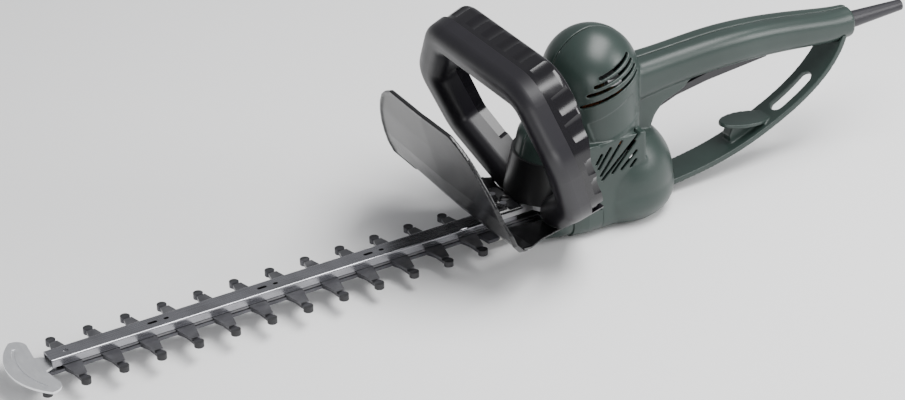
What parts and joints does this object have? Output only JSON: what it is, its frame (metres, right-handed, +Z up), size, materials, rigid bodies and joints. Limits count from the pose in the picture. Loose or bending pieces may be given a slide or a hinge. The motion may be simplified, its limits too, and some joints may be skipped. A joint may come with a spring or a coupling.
{
  "type": "hedge trimmer",
  "caption": "Corded hedge trimmer: double-sided reciprocating blade, gear case and upright motor in a moulded housing, hand guard, front stirrup handle and rear loop handle.",
  "frame": {"origin": "on the flat rest face under the housing, on the upright motor's axis and the tool's middle plane", "axes": "+X towards the blade's tip, +Y to the tool's left, +Z up"},
  "size_m": [0.9082, 0.2376, 0.2008],
  "materials": {
    "housing_green": "fine textured satin",
    "handle_black": "fine textured satin",
    "bar_black": "semi gloss",
    "band_black": "satin",
    "guard_black": "semi gloss",
    "trigger_black": "satin",
    "sleeve_rubber": "matt",
    "comb_steel": "dark ground",
    "cutter_steel": "ground",
    "bar_steel": "bright rolled",
    "tip_steel": "satin",
    "stud_steel": "turned",
    "bolt_steel": "zinc plated",
    "screw_black": "blackened",
    "cast_alloy": "die cast",
    "plate_steel": "pressed",
    "gear_steel": "machined",
    "bush_bronze": "sintered",
    "shaft_steel": "ground",
    "bearing_steel": "polished",
    "lamination": "stacked sheet",
    "copper": "enamelled",
    "carbon": "pressed carbon",
    "holder_brass": "pressed",
    "spring_steel": "drawn wire",
    "fan_plastic": "moulded",
    "switch_plastic": "moulded",
    "plunger_red": "moulded",
    "capacitor_film": "wrapped film"
  },
  "bodies": {
    "frame": {"bar_springs": "spring_steel", "base_plate": "plate_steel", "bearing_bridge": "cast_alloy", "blade_bolts": "bolt_steel", "blade_spacers": "stud_steel", "brush_holders": "holder_brass", "brush_springs": "spring_steel", "cable_clamp": "switch_plastic", "cable_sleeve": "sleeve_rubber", "capacitor": "capacitor_film", "carbon_brushes": "carbon", "comb_blade": "comb_steel", "cover_screws": "screw_black", "field_coils": "copper", "front_cover": "housing_green", "front_handle": "handle_black", "front_switch": "switch_plastic", "gear_axle": "shaft_steel", "gear_case": "cast_alloy", "guard_screws": "bolt_steel", "guide_studs": "stud_steel", "hand_guard": "guard_black", "handle_screws": "screw_black", "housing_left": "housing_green", "housing_right": "housing_green", "housing_screws": "screw_black", "lower_bearing": "bearing_steel", "main_switch": "switch_plastic", "nose_band": "band_black", "rear_hoop": "housing_green", "stator_core": "lamination", "support_bar": "bar_steel", "switch_plunger": "plunger_red", "terminal_block": "switch_plastic", "tip_guard": "tip_steel", "trigger_pin": "shaft_steel", "trigger_spring": "spring_steel", "upper_bearing": "bearing_steel"},
    "cutter": {"cutter_blade": "cutter_steel"},
    "gear": {"drive_gear": "gear_steel", "gear_bush": "bush_bronze", "eccentric_disc": "gear_steel"},
    "rotor": {"armature_shaft": "shaft_steel", "pinion": "gear_steel", "armature_core": "lamination", "armature_windings": "copper", "commutator": "copper", "cooling_fan": "fan_plastic"},
    "trigger": {"rear_trigger": "trigger_black"},
    "front_bar": {"front_switch_bar": "bar_black"}
  },
  "joints": [
    {"name": "cutter_slide", "type": "slide", "parent": "frame", "child": "cutter", "axis": [1, 0, 0], "range_m": [-0.0085, 0.0085]},
    {"name": "gear_spin", "type": "hinge", "parent": "frame", "child": "gear", "pos_m": [0.036, 0, 0.04], "axis": [0, 0, 1], "continuous": true},
    {"name": "rotor_spin", "type": "hinge", "parent": "frame", "child": "rotor", "pos_m": [0, 0, 0.09], "axis": [0, 0, 1], "continuous": true},
    {"name": "trigger_squeeze", "type": "hinge", "parent": "frame", "child": "trigger", "pos_m": [-0.174, 0, 0.117], "axis": [0, -1, 0], "range_deg": [0, 3], "stiffness_Nm_per_rad": 6, "springref_deg": -2.86},
    {"name": "bar_squeeze", "type": "slide", "parent": "frame", "child": "front_bar", "axis": [0.9397, 0, -0.342], "range_m": [0, 0.003], "stiffness_N_per_m": 900, "springref_m": -0.004}
  ],
  "couplings": [
    {"joint": "rotor_spin", "follows": "gear_spin", "ratio": -6.2}
  ]
}
